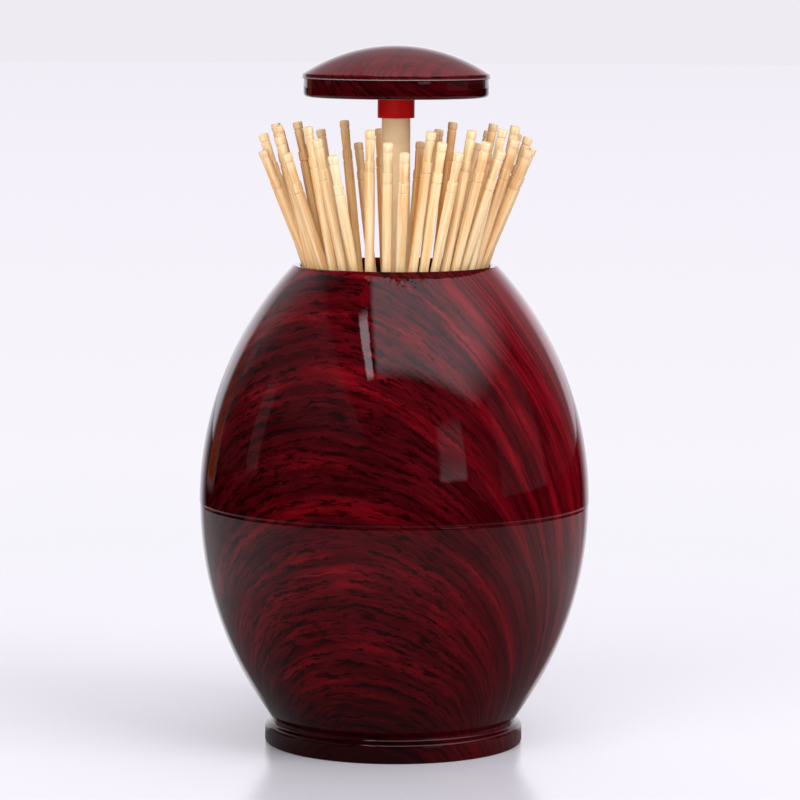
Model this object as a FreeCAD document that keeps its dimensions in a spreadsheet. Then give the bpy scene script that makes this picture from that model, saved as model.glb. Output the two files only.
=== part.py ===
"""Push-to-open toothpick dispenser: an egg-shaped case whose lid rises on a sprung stem and fans out
a crown of toothpicks. The frame has +Z up, its origin at the centre of the foot, and the front at -Y.
Everything is drawn with the lid up; pressing it carries lid, stem, dish and toothpicks straight down.
"""
import FreeCAD, Part
import os
import re
from math import atan2, cos, degrees, exp, pi, radians, sin, sqrt

import Sketcher

os.makedirs("parts", exist_ok=True)
doc = FreeCAD.newDocument("toothpick_dispenser")
Vector = FreeCAD.Vector

# ---------------------------------------------------------------- driving dimensions, millimetres
SIZES = {
    # case: two arcs, one above and one below the widest ring, standing on a low foot ring
    "belly_radius": 42.4, "belly_height": 52.8, "upper_arc": 75.3, "lower_arc": 80.0,
    "wall": 2.0, "rim_height": 104.3, "mouth_radius": 20.65, "lip_round": 0.45, "lip_depth": 1.5,
    "seam_step": 0.14, "spigot_height": 3.0, "spigot_wall": 1.0, "spigot_play": 0.2, "spigot_root": 4.0,
    "foot_radius": 28.1, "foot_shoulder": 3.6, "foot_round": 1.0, "neck_height": 5.2,
    "recess_radius": 24.6, "recess_depth": 2.8, "ledge_radius": 18.0,
    "ledge_thickness": 2.2,
    # throat liner
    "liner_radius": 21.0, "liner_wall": 1.0, "liner_bottom": 64.0, "liner_play": 0.1,
    "liner_flange_height": 96.0, "liner_flange_radius": 25.2, "liner_flange_thickness": 1.2,
    # base plate, its screws and the bosses that take them
    "plate_thickness": 2.1, "plate_play": 0.15, "screw_count": 3, "screw_circle": 21.3,
    "screw_radius": 1.2, "screw_play": 0.05, "screw_length": 8.0, "screw_head_radius": 2.3,
    "screw_head_height": 1.2, "boss_radius": 3.0, "boss_height": 6.5,
    # guide post and its stop screw
    "post_radius": 1.7, "post_bottom": 1.9, "post_socket_radius": 4.2, "post_socket_top": 9.0,
    "post_play": 0.03, "stop_head_radius": 2.2, "stop_head_height": 1.8, "stop_shank_radius": 0.9,
    "stop_shank_length": 9.0, "stop_gap": 0.05,
    # stem, bush and dish
    "stem_radius": 3.1, "stem_bore": 2.35, "stem_bottom": 64.9, "stem_top": 143.0, "stem_cap": 8.0,
    "stem_flange_radius": 4.4, "stem_flange": 1.1, "bush_length": 9.0, "bush_play": 0.05,
    "dish_radius": 14.0, "dish_wall": 1.0, "dish_rim": 73.0, "dish_floor": 68.0, "dish_slope": 0.36,
    "dish_chamfer": 2.0, "fit_play": 0.02,
    # lid
    "lid_radius": 20.25, "lid_top": 151.7, "dome_arc": 36.2, "dome_edge": 145.6, "dome_wall": 1.8,
    "lid_seam": 144.5, "dome_ridge": 0.15, "band_step": 0.25, "band_bottom": 140.5, "band_round": 1.0,
    "band_wall": 1.55, "lid_floor": 1.5, "lid_lug": 1.9, "lid_lug_wall": 1.1,
    "collar_radius": 4.0, "collar_bottom": 136.0, "collar_hole": 3.95, "lid_boss_radius": 6.5,
    "lid_boss_top": 144.0,
    # return spring
    "spring_radius": 3.5, "spring_wire": 0.3, "spring_coils": 15, "spring_gap": 0.05,
    # heart-shaped latch: cam plate under the dish and a wire that swings on the base
    "cam_width": 10.0, "cam_thickness": 2.5, "cam_back": 8.0, "cam_bottom": 52.0, "cam_groove": 1.3,
    "lane_outer": 2.4, "lane_inner": 0.8, "chamber_top": 65.3, "island_top": 62.2,
    "island_notch": 61.4, "island_bottom": 53.5, "island_shoulder": 55.0, "cam_peg_radius": 0.9,
    "cam_peg_length": 1.4, "cam_peg_offset": 3.6,
    "wire_radius": 0.5, "wire_depth": 12.2, "wire_offset": 1.6, "wire_top": 22.0, "pivot_height": 9.0,
    "peg_reach": 9.6, "bracket_width": 6.0, "bracket_front": 13.0, "bracket_depth": 3.0,
    "bracket_top": 12.0, "pivot_play": 0.05, "wire_head": 0.9, "wire_head_length": 0.5,
    # toothpicks
    "pick_length": 65.0, "pick_radius": 1.0, "point_length": 7.0, "point_radius": 0.25,
    "swell_start": 40.0, "swell_end": 48.0, "head_radius": 1.08,
    "head_groove": 1.7, "grip_length": 6.4, "bead_groove": 8.8,
}
sheet = doc.addObject("Spreadsheet::Sheet", "Sizes")
sheet.Label = "driving dimensions"
for row, (alias, value) in enumerate(SIZES.items(), start=1):
    sheet.set("A%d" % row, alias.replace("_", " "))
    sheet.set("B%d" % row, str(value))
    sheet.setAlias("B%d" % row, alias)
doc.recompute()

# Motion and layout of the toothpicks: they stand in three rings in the dish and lean on the mouth.
PICK_COUNT = 42
PICK_RINGS = (11.2, 8.0, 4.8)        # foot radius of each ring, taken in turn round the mouth
FIRST_PICK = -16.5                   # degrees round from the front, towards +X, just past the parting
PARTING, SECOND_GAP = 2.0, 4.0       # extra degrees at the parting and after the first toothpick
CROWDING, CROWDED = 0.12, 55.0       # share by which they stand closer, most of all at this azimuth
GATHER_TRAVEL = 50.0                 # press at which every toothpick would stand upright

finished = []


def linked(expression):
    """The same expression with every dimension's name pointing at its cell."""
    return re.sub(r"[a-z_]{3,}", lambda word: "Sizes." + word.group() if word.group() in SIZES
                  else word.group(), expression)


def number(expression):
    """The present value of an expression of dimension names."""
    return float(sheet.evalExpression(linked(expression)))


def new_body(label):
    body = doc.addObject("PartDesign::Body", label)
    body.Label = label
    return body


def plane_of(body, role):
    return next(plane for plane in body.Origin.OriginFeatures if plane.Role == role)


def outline(body, name, corners, role="XZ_Plane"):
    """Closed sketch through corners of two expressions each; a third entry, (radius, side), makes
    the edge to the next corner an arc whose centre lies left (+1) or right (-1) of that edge."""
    sketch = body.newObject("Sketcher::SketchObject", name)
    sketch.AttachmentSupport = (plane_of(body, role), [""])
    sketch.MapMode = "FlatFace"
    draw_loop(sketch, corners)
    return sketch


def draw_loop(sketch, corners):
    places = [(number(corner[0]), number(corner[1])) for corner in corners]
    ends = []
    for index, corner in enumerate(corners):
        start = Vector(*places[index], 0)
        end = Vector(*places[(index + 1) % len(places)], 0)
        if len(corner) == 2:
            ends.append((sketch.addGeometry(Part.LineSegment(start, end), False), 1, 2))
            continue
        radius, side = number(corner[2][0]), corner[2][1]
        across = (end - start).normalize()
        left = Vector(-across.y, across.x, 0) * side
        reach = sqrt(radius ** 2 - ((end - start).Length / 2) ** 2)
        centre = (start + end) / 2 + left * reach
        first, last = (start, end) if side > 0 else (end, start)
        angles = [atan2(point.y - centre.y, point.x - centre.x) for point in (first, last)]
        circle = Part.Circle(centre, Vector(0, 0, 1), radius)
        geometry = sketch.addGeometry(Part.ArcOfCircle(circle, *angles), False)
        ends.append((geometry, 1, 2) if side > 0 else (geometry, 2, 1))
        held = sketch.addConstraint(Sketcher.Constraint("Radius", geometry, radius))
        sketch.setExpression("Constraints[%d]" % held, linked(corner[2][0]))
    for index, (geometry, first, last) in enumerate(ends):
        following, start_of_next, _ = ends[(index + 1) % len(ends)]
        sketch.addConstraint(Sketcher.Constraint("Coincident", geometry, last, following, start_of_next))
        for kind, value, text in zip(("DistanceX", "DistanceY"), places[index], corners[index][:2]):
            held = sketch.addConstraint(Sketcher.Constraint(kind, -1, 1, geometry, first, value))
            sketch.setExpression("Constraints[%d]" % held, linked(text))


def turned(label, corners):
    """Body turned about the Z axis from an outline of (radius, height) corners."""
    body = new_body(label)
    turn = body.newObject("PartDesign::Revolution", label + "_turn")
    turn.Profile = outline(body, label + "_outline", corners)
    turn.ReferenceAxis = (turn.Profile[0], ["V_Axis"])
    turn.Angle = 360
    return finish(body)


def circles(body, name, radius, places, role="XY_Plane"):
    """Sketch of equal circles whose radius and centres are bound to the sheet."""
    sketch = body.newObject("Sketcher::SketchObject", name)
    sketch.AttachmentSupport = (plane_of(body, role), [""])
    sketch.MapMode = "FlatFace"
    for across, along in places:
        centre = Vector(number(across), number(along), 0)
        geometry = sketch.addGeometry(Part.Circle(centre, Vector(0, 0, 1), number(radius)), False)
        for kind, value, text in (("DistanceX", centre.x, across), ("DistanceY", centre.y, along)):
            held = sketch.addConstraint(Sketcher.Constraint(kind, -1, 1, geometry, 3, value))
            sketch.setExpression("Constraints[%d]" % held, linked(text))
        held = sketch.addConstraint(Sketcher.Constraint("Radius", geometry, number(radius)))
        sketch.setExpression("Constraints[%d]" % held, linked(radius))
    return sketch


def extruded(body, kind, sketch, start, length):
    """Pad or pocket of a level sketch, from height start upwards over length."""
    sketch.setExpression(".AttachmentOffset.Base.z", linked(start))
    feature = body.newObject("PartDesign::" + kind, sketch.Name + "_" + kind.lower())
    feature.Profile = sketch
    feature.Reversed = kind == "Pocket"
    feature.setExpression("Length", linked(length))
    body.Tip = feature
    return feature


def finish(body):
    if body not in finished:
        finished.append(body)
    return body


def ring_of(count, circle):
    """Centres, as expressions, of count places evenly round a circle, the first at the front."""
    step = 360 / count
    return [("%s * sin(%g)" % (circle, step * turn), "-%s * cos(%g)" % (circle, step * turn))
            for turn in range(count)]


# ---------------------------------------------------------------- case
def arc_radius(arc, belly, height):
    """Expression for an arc's distance from the axis at a height; belly is its widest radius."""
    return "%s - (%s) + sqrt((%s)^2 - (%s - belly_height)^2)" % (belly, arc, arc, height)


UPPER_INNER = "upper_arc - wall"
LOWER_BELLY = "belly_radius - seam_step"
LOWER_INNER = "lower_arc - wall"
LINER_SEAT = "liner_radius + liner_wall + liner_play"
LIP_LOW = "rim_height - lip_round"
THROAT_LOW = ("belly_height + sqrt((%s)^2 - (%s - belly_radius + upper_arc)^2)"
              % (UPPER_INNER, LINER_SEAT))


def make_upper_shell():
    lip_out = arc_radius("upper_arc", "belly_radius", LIP_LOW)
    return turned("upper_shell", [
        ("belly_radius", "belly_height", ("upper_arc", 1)),
        (lip_out, LIP_LOW, ("lip_round * 1.3", 1)),
        (lip_out + " - lip_round * 1.2", "rim_height"),
        ("mouth_radius + lip_round", "rim_height", ("lip_round", 1)),
        ("mouth_radius", LIP_LOW),
        ("mouth_radius", "rim_height - lip_depth"),
        (LINER_SEAT, "rim_height - lip_depth"),
        (LINER_SEAT, THROAT_LOW, (UPPER_INNER, -1)),
        ("belly_radius - wall", "belly_height"),
    ])


def make_lower_shell():
    ledge_top = "recess_depth + ledge_thickness"
    spigot = "belly_radius - wall - spigot_play"
    root = "belly_height - spigot_root"
    body = turned("lower_shell", [
        (arc_radius("lower_arc", LOWER_BELLY, "neck_height"), "neck_height", ("lower_arc", 1)),
        (LOWER_BELLY, "belly_height"),
        (spigot, "belly_height"),
        (spigot, "belly_height + spigot_height"),
        (spigot + " - spigot_wall", "belly_height + spigot_height"),
        (spigot + " - spigot_wall", root),
        (arc_radius(LOWER_INNER, "belly_radius - wall", root), root, (LOWER_INNER, -1)),
        (arc_radius(LOWER_INNER, "belly_radius - wall", ledge_top), ledge_top),
        ("ledge_radius", ledge_top),
        ("ledge_radius", "recess_depth"),
        ("recess_radius", "recess_depth"),
        ("recess_radius", "0"),
        ("foot_radius - foot_round * 0.6", "0", ("foot_round * 0.6", 1)),
        ("foot_radius", "foot_round * 0.6"),
        ("foot_radius", "foot_shoulder", ("foot_round", 1)),
        ("foot_radius - foot_round", "foot_shoulder + foot_round * 0.9"),
    ])
    places = ring_of(int(number("screw_count")), "screw_circle")
    bosses = circles(body, "boss_circles", "boss_radius", places)
    extruded(body, "Pad", bosses, ledge_top, "boss_height")
    pilots = circles(body, "pilot_circles", "screw_radius + screw_play", places)
    extruded(body, "Pocket", pilots, "recess_depth", "screw_length")
    return body


def make_mouth_liner():
    outer = "liner_radius + liner_wall"
    top = "rim_height - lip_depth"
    return turned("mouth_liner", [
        ("liner_radius", "liner_bottom"),
        (outer, "liner_bottom"),
        (outer, "liner_flange_height"),
        ("liner_flange_radius", "liner_flange_height"),
        ("liner_flange_radius", "liner_flange_height + liner_flange_thickness"),
        (outer, "liner_flange_height + liner_flange_thickness"),
        (outer, top),
        ("liner_radius", top),
    ])


PLATE_LOW = "recess_depth - plate_thickness"


def make_base_plate():
    body = turned("base_plate", [
        ("0", PLATE_LOW),
        ("recess_radius - plate_play", PLATE_LOW),
        ("recess_radius - plate_play", "recess_depth"),
        ("post_socket_radius", "recess_depth"),
        ("post_socket_radius", "post_socket_top"),
        ("post_radius + post_play", "post_socket_top"),
        ("post_radius + post_play", "post_bottom"),
        ("0", "post_bottom"),
    ])
    places = ring_of(int(number("screw_count")), "screw_circle")
    holes = circles(body, "screw_holes", "screw_radius + screw_play", places)
    extruded(body, "Pocket", holes, PLATE_LOW, "plate_thickness")
    sinks = circles(body, "head_sinks", "screw_head_radius + screw_play", places)
    extruded(body, "Pocket", sinks, PLATE_LOW, "screw_head_height")
    return body


def make_base_screws():
    """Cross-head screws, one solid each in the same node."""
    screws = []
    radius, sink = number("screw_circle"), number(PLATE_LOW)
    head, shank = number("screw_head_radius"), number("screw_radius")
    height = number("screw_head_height")
    slot_depth, slot_width = 0.45 * height, 0.35 * head
    for turn in range(int(number("screw_count"))):
        angle = 2 * pi * turn / number("screw_count")
        foot = Vector(radius * sin(angle), -radius * cos(angle), sink)
        solid = Part.makeCylinder(head, height, foot)
        solid = solid.fuse(Part.makeCylinder(shank, number("screw_length") - height, foot
                                             + Vector(0, 0, height)))
        for length, width in ((1.3 * head, slot_width), (slot_width, 1.3 * head)):
            corner = foot - Vector(length / 2, width / 2, 0)
            solid = solid.cut(Part.makeBox(length, width, slot_depth, corner))
        screws.append(solid)
    return plain("base_screws", Part.makeCompound(screws))


def plain(label, shape):
    """Sub-part whose shape is worked out directly from the sheet's values."""
    feature = doc.addObject("Part::Feature", label)
    feature.Label = label
    feature.Shape = shape
    return finish(feature)


# ---------------------------------------------------------------- post, stem and dish
BUSH_LOW = "stem_bottom + stem_flange"
POST_TOP = "stem_bottom + stem_flange + bush_length + stop_gap"


def make_guide_post():
    hole = "stop_shank_radius + fit_play"
    return turned("guide_post", [
        ("0", "post_bottom + fit_play"),
        ("post_radius", "post_bottom + fit_play"),
        ("post_radius", POST_TOP),
        (hole, POST_TOP),
        (hole, POST_TOP + " - stop_shank_length - 0.5"),
        ("0", POST_TOP + " - stop_shank_length - 0.5"),
    ])


def make_stop_screw():
    return turned("stop_screw", [
        ("0", POST_TOP + " - stop_shank_length"),
        ("stop_shank_radius", POST_TOP + " - stop_shank_length"),
        ("stop_shank_radius", POST_TOP),
        ("stop_head_radius", POST_TOP),
        ("stop_head_radius", POST_TOP + " + stop_head_height * 0.7"),
        ("stop_head_radius * 0.7", POST_TOP + " + stop_head_height"),
        ("0", POST_TOP + " + stop_head_height"),
    ])


def make_stem_tube():
    return turned("stem_tube", [
        ("stem_bore", "stem_bottom"),
        ("stem_flange_radius", "stem_bottom"),
        ("stem_flange_radius", BUSH_LOW),
        ("stem_radius", BUSH_LOW),
        ("stem_radius", "stem_top"),
        ("0", "stem_top"),
        ("0", "stem_top - stem_cap"),
        ("stem_bore", "stem_top - stem_cap"),
    ])


def make_stem_bush():
    return turned("stem_bush", [
        ("post_radius + bush_play", BUSH_LOW),
        ("stem_bore - fit_play", BUSH_LOW),
        ("stem_bore - fit_play", BUSH_LOW + " + bush_length"),
        ("post_radius + bush_play", BUSH_LOW + " + bush_length"),
    ])


def floor_at(radius):
    """Expression for the height of the dish's sloping floor."""
    return "dish_floor + dish_slope * (%s - stem_radius - 1.6)" % radius


CAM_PEGS = [("cam_peg_offset", "cam_back + cam_thickness / 2"),
            ("-cam_peg_offset", "cam_back + cam_thickness / 2")]


def make_carrier_dish():
    bore, inner = "stem_radius + fit_play", "dish_radius - dish_wall"
    body = turned("carrier_dish", [
        (bore, BUSH_LOW),
        ("dish_radius - dish_chamfer", BUSH_LOW),
        ("dish_radius", BUSH_LOW + " + dish_chamfer"),
        ("dish_radius", "dish_rim"),
        (inner, "dish_rim"),
        (inner, floor_at(inner)),
        (bore, floor_at(bore)),
    ])
    pegs = circles(body, "peg_holes", "cam_peg_radius + fit_play", CAM_PEGS)
    extruded(body, "Pocket", pegs, BUSH_LOW, "cam_peg_length + 0.2")
    return body


# ---------------------------------------------------------------- lid
def dome_height(radius, wall="0"):
    return "lid_top - dome_arc + sqrt((dome_arc - %s)^2 - (%s)^2)" % (wall, radius)


def make_lid_dome():
    lug = "lid_radius - band_step - band_wall - fit_play * 2"
    edge = "sqrt(dome_arc^2 - (dome_edge - lid_top + dome_arc)^2)"
    return turned("lid_dome", [
        ("0", "lid_top"),
        ("0", "lid_top - dome_wall", ("dome_arc - dome_wall", -1)),
        (lug + " - lid_lug_wall", dome_height(lug + " - lid_lug_wall", "dome_wall")),
        (lug + " - lid_lug_wall", "lid_seam - lid_lug"),
        (lug, "lid_seam - lid_lug"),
        (lug, "lid_seam"),
        ("lid_radius", "lid_seam"),
        ("lid_radius", "dome_edge - dome_ridge"),
        (edge, "dome_edge", ("dome_arc", 1)),
    ])


def make_lid_base():
    band = "lid_radius - band_step"
    return turned("lid_base", [
        ("collar_hole", "band_bottom"),
        (band + " - band_round", "band_bottom", ("band_round", 1)),
        (band, "band_bottom + band_round"),
        (band, "lid_seam"),
        (band + " - band_wall", "lid_seam"),
        (band + " - band_wall", "band_bottom + lid_floor"),
        ("lid_boss_radius", "band_bottom + lid_floor"),
        ("lid_boss_radius", "lid_boss_top"),
        ("collar_hole", "lid_boss_top"),
    ])


def make_lid_collar():
    """Red bush that grips the stem's end inside the lid."""
    spigot = "collar_hole - fit_play"
    return turned("lid_collar", [
        ("stem_radius + fit_play", "collar_bottom"),
        ("collar_radius", "collar_bottom"),
        ("collar_radius", "band_bottom"),
        (spigot, "band_bottom"),
        (spigot, "lid_boss_top + 0.4"),
        ("0", "lid_boss_top + 0.4"),
        ("0", "stem_top + fit_play"),
        ("stem_radius + fit_play", "stem_top + fit_play"),
    ])


# ---------------------------------------------------------------- spring and latch
def make_return_spring():
    """Round-wire coil between the post's socket and the flange of the stem."""
    low = "post_socket_top + spring_gap + spring_wire"
    rise = "stem_bottom - post_socket_top - 2 * (spring_gap + spring_wire)"
    body = new_body("return_spring")
    wire = circles(body, "wire_section", "spring_wire", [("spring_radius", low)], "XZ_Plane")
    coil = body.newObject("PartDesign::AdditiveHelix", "coil")
    coil.Profile = wire
    coil.ReferenceAxis = (wire, ["V_Axis"])
    coil.Mode = "pitch-height-angle"
    coil.setExpression("Height", linked(rise))
    coil.setExpression("Pitch", linked("(%s) / spring_coils" % rise))
    return finish(body)


def make_heart_cam():
    """Plate with a heart-shaped island in its groove; the wire's tip travels round the island."""
    half, top = "cam_width / 2", BUSH_LOW
    body = new_body("heart_cam")
    face = outline(body, "cam_face", [
        ("-" + half, "cam_bottom"), (half, "cam_bottom"), (half, top), ("-" + half, top)])
    face.setExpression(".AttachmentOffset.Base.z", linked("-cam_back - cam_thickness"))
    plate = body.newObject("PartDesign::Pad", "cam_plate")
    plate.Profile = face
    plate.setExpression("Length", linked("cam_thickness"))
    groove = outline(body, "cam_groove", [
        ("-lane_outer", "cam_bottom - 0.5"), ("lane_outer", "cam_bottom - 0.5"),
        ("lane_outer", "chamber_top"), ("-lane_outer", "chamber_top")])
    draw_loop(groove, [
        ("0", "island_bottom"), ("lane_inner", "island_shoulder"), ("lane_inner", "island_top"),
        ("0", "island_notch"), ("-lane_inner", "island_top"), ("-lane_inner", "island_shoulder")])
    groove.setExpression(".AttachmentOffset.Base.z", linked("-cam_back - cam_thickness"))
    cut = body.newObject("PartDesign::Pocket", "cam_pocket")
    cut.Profile = groove
    cut.Reversed = True
    cut.setExpression("Length", linked("cam_groove"))
    pegs = circles(body, "cam_pegs", "cam_peg_radius", CAM_PEGS)
    extruded(body, "Pad", pegs, top, "cam_peg_length")
    return finish(body)


def make_latch_wire():
    """Bent wire: an axle along Y, an upright that leans to the entry lane, and a tip in the groove."""
    radius, depth = number("wire_radius"), number("wire_depth")
    pivot = Vector(0, depth, number("pivot_height"))
    top = Vector(-number("wire_offset"), depth, number("wire_top"))
    back = number("bracket_front + bracket_depth")
    axle_end = Vector(0, back + 0.1, pivot.z)
    tip = Vector(top.x, number("peg_reach"), top.z)
    solid = Part.makeSphere(radius, pivot)
    for start, end in ((pivot, axle_end), (pivot, top), (top, tip)):
        solid = solid.fuse(Part.makeCylinder(radius, (end - start).Length, start, end - start))
    solid = solid.fuse(Part.makeSphere(radius, top))
    head = Part.makeCylinder(number("wire_head"), number("wire_head_length"), axle_end, Vector(0, 1, 0))
    return plain("latch_wire", solid.fuse(head).removeSplitter())


def make_latch_bracket():
    """Upright block on the base plate with the hole that the wire's axle turns in."""
    width, depth = number("bracket_width"), number("bracket_depth")
    front, low = number("bracket_front"), number("recess_depth")
    block = Part.makeBox(width, depth, number("bracket_top") - low, Vector(-width / 2, front, low))
    hole = Part.makeCylinder(number("wire_radius + pivot_play"), depth + 2,
                             Vector(0, front - 1, number("pivot_height")), Vector(0, 1, 0))
    return plain("latch_bracket", block.cut(hole))


# ---------------------------------------------------------------- toothpicks
def make_pick_blank():
    """One toothpick standing on its point at the origin, with the ringed grip at its blunt end."""
    body = turned("pick_blank", [
        ("0", "0"),
        ("point_radius", "0"),
        ("pick_radius", "point_length"),
        ("pick_radius", "swell_start"),
        ("head_radius", "swell_end"),
        ("head_radius", "pick_length - bead_groove - 0.3"),
        ("head_radius * 0.84", "pick_length - bead_groove"),
        ("head_radius", "pick_length - bead_groove + 0.3"),
        ("head_radius", "pick_length - grip_length - 0.3"),
        ("head_radius * 0.86", "pick_length - grip_length"),
        ("head_radius * 0.96", "pick_length - head_groove - 0.3"),
        ("head_radius * 0.84", "pick_length - head_groove"),
        ("head_radius * 0.98", "pick_length - head_groove + 0.3"),
        ("head_radius", "pick_length - 0.35"),
        ("head_radius * 0.8", "pick_length"),
        ("0", "pick_length"),
    ])
    finished.remove(body)
    return body


def round_mouth(radius, azimuth):
    """Point at a distance from the axis, azimuth degrees round from the front towards +X."""
    return Vector(radius * sin(radians(azimuth)), -radius * cos(radians(azimuth)), 0)


def pick_layout():
    """(foot point, level direction of the lean, lean in radians) of every toothpick. The crown is
    parted left of the front: past the parting the feet are swept back towards it, so those sticks
    lean to +X. Small sine terms make the spacing, slack and height uneven."""
    layout = []
    step = (360 - PARTING - SECOND_GAP) / PICK_COUNT
    for index in range(PICK_COUNT):
        even = FIRST_PICK + index * step + SECOND_GAP * (1 - exp(-1.5 * index))
        azimuth = (even + 0.2 * (sin(0.9 * index) + 0.35 * sin(2.4 * index))
                   - degrees(CROWDING) * (sin(radians(even - CROWDED))
                                          - sin(radians(FIRST_PICK - CROWDED))))
        front = (azimuth + 180) % 360 - 180
        if front > FIRST_PICK - PARTING:
            sweep = 14 * exp(-(front / 60) ** 2)
        else:
            sweep = -2 * exp(-((front + 21) / 60) ** 2)
        foot_radius = PICK_RINGS[index % 3] + 0.1 * sin(1.7 * index)
        sweep *= (foot_radius - 2) / (max(PICK_RINGS) - 2)
        foot = round_mouth(foot_radius, azimuth - sweep)
        foot.z = 69.1 + number("dish_slope") * (foot_radius - 4.7) + 0.5 * sin(4.1 * index)
        slack = 0.37 + 0.12 * sin(3.3 * index)
        touch = round_mouth(number("mouth_radius") - 1.07 * number("pick_radius") - slack, azimuth)
        run = Vector(touch.x - foot.x, touch.y - foot.y, 0)
        lean = atan2(run.Length, number("rim_height") - foot.z)
        layout.append((foot, run.normalize(), lean))
    return layout


def make_toothpicks():
    blank = make_pick_blank()
    for index, (foot, direction, lean) in enumerate(pick_layout(), start=1):
        body = new_body("toothpick_%02d" % index)
        copy = body.newObject("PartDesign::FeatureBase", "blank_%02d" % index)
        copy.BaseFeature = blank
        body.Tip = copy
        axis = Vector(-direction.y, direction.x, 0)
        body.Placement = FreeCAD.Placement(foot, FreeCAD.Rotation(axis, degrees(lean)))
        finish(body)


for make in (make_upper_shell, make_lower_shell, make_mouth_liner, make_base_plate, make_base_screws,
             make_guide_post, make_stop_screw, make_stem_tube, make_stem_bush, make_carrier_dish,
             make_lid_dome, make_lid_base, make_lid_collar, make_return_spring, make_heart_cam,
             make_latch_wire, make_latch_bracket, make_toothpicks):
    make()
doc.recompute()

for item in doc.Objects:
    if {"Invalid", "Error"} & set(item.State):
        raise RuntimeError("%s did not build: %s" % (item.Label, item.State))
for body in finished:
    if body.Shape.isNull() or not body.Shape.isValid() or not body.Shape.Solids:
        raise RuntimeError("%s has no valid solid" % body.Label)
    body.Shape.exportStep("parts/%s.step" % body.Label)
    print("%-14s %d solid(s) %9.1f mm3" % (body.Label, len(body.Shape.Solids), body.Shape.Volume))
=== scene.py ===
"""Looks of a push-to-open toothpick dispenser: an egg-shaped case in a glossy rosewood print, a domed
lid on a cream stem, and a crown of turned bamboo toothpicks. The frame is in metres with +Z up, its
origin at the centre of the foot and the front at -Y. Sizes below are in millimetres.
"""
from math import atan2, cos, degrees, exp, pi, radians, sin

import bmesh
import bpy
import numpy as np
from mathutils import Matrix, Vector


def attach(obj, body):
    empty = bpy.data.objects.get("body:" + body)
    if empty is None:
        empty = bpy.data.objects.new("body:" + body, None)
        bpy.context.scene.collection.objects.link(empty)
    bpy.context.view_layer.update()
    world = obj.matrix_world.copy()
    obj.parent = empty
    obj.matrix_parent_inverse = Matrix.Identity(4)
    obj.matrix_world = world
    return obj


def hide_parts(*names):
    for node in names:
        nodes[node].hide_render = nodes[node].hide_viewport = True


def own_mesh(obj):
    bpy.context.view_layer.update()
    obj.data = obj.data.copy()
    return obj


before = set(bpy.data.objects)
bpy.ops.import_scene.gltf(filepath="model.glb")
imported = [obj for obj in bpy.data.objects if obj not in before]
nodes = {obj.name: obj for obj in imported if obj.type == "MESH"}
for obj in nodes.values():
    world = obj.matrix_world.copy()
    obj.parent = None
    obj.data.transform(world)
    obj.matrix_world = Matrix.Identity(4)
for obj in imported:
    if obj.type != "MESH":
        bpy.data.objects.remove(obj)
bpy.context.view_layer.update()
scene = bpy.context.scene
scene.view_settings.view_transform = "Standard"

# ---------------------------------------------------------------- camera
# A long lens looks slightly down on the case from the front, with a hair of roll.
MM = 0.001
LENS, EYE = 176.14, (1.14, -845.5, 168.64)
DOWNWARD, ROLL = 6.333, 0.277
camera = bpy.data.objects.new("camera", bpy.data.cameras.new("camera"))
camera.data.lens = LENS
camera.data.sensor_width = 36.0
camera.data.clip_end = 40.0
camera.matrix_world = (Matrix.Translation(Vector(EYE) * MM)
                       @ Matrix.Rotation(radians(90 - DOWNWARD), 4, "X")
                       @ Matrix.Rotation(radians(ROLL), 4, "Z"))
scene.collection.objects.link(camera)
scene.camera = camera


# ---------------------------------------------------------------- table and studio
# A wide sheet of pale glossy acrylic. Near the case it is lit and takes its shadow and a soft mirror image;
# further out it fades into the slightly lavender white of the backdrop, which is painted lightest about
# half a metre out and a little dimmer beyond, as light falling off. In the lacquer's reflections the sheet
# glows instead, dim close round the case as painted shade for its shadow there.
def display(red, green, blue):
    """Colour written on the 0-255 display scale, made linear: a straight line for the darkest
    values, and the power 2.4 of the shifted value above them."""
    scale = np.array([red, green, blue]) / 255
    linear = np.where(scale <= 0.04045, scale / 12.92, ((scale + 0.055) / 1.055) ** 2.4)
    return (*linear.tolist(), 1.0)


def node(tree, kind, *inputs, **settings):
    """New shader node; settings are its own properties, and each input is a pair of a socket's name
    or number and the value or output socket that goes into it."""
    made = tree.nodes.new("ShaderNode" + kind)
    for key, value in settings.items():
        setattr(made, key, value)
    for socket, value in inputs:
        if isinstance(value, bpy.types.NodeSocket):
            tree.links.new(value, made.inputs[socket])
        else:
            made.inputs[socket].default_value = value
    return made


def figure(tree, operation, *values):
    """Result of one arithmetic step on numbers or outputs."""
    return node(tree, "Math", *enumerate(values), operation=operation).outputs[0]


def arrow(tree, operation, *values):
    """Result of one step of vector arithmetic; a length or a dot product comes out as a number."""
    made = node(tree, "VectorMath", operation=operation)
    for place, value in enumerate(values):
        socket = made.inputs["Scale"] if operation == "SCALE" and place == 1 else made.inputs[place]
        if isinstance(value, bpy.types.NodeSocket):
            tree.links.new(value, socket)
        else:
            socket.default_value = value
    return made.outputs["Value" if operation in ("LENGTH", "DOT_PRODUCT") else "Vector"]


def ease(tree, value, low, high, start=0.0, end=1.0):
    """Smooth step from start to end while value goes from low to high."""
    return node(tree, "MapRange", (0, value), (1, low), (2, high), (3, start), (4, end),
                interpolation_type="SMOOTHSTEP").outputs[0]


def span(tree, value, low, high, soft_low, soft_high):
    """1 between low and high and 0 outside, over a soft edge at each end."""
    return figure(tree, "MULTIPLY", ease(tree, value, low - soft_low, low + soft_low),
                  ease(tree, value, high - soft_high, high + soft_high, 1.0, 0.0))


def bearing(tree, vector):
    """Degrees round from the front towards +X, from -180 to 180, of a vector from the middle."""
    part = node(tree, "SeparateXYZ", (0, vector)).outputs
    turn = figure(tree, "ARCTAN2", part[0], figure(tree, "MULTIPLY", part[1], -1.0))
    return figure(tree, "MULTIPLY", turn, 180 / pi)


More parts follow.
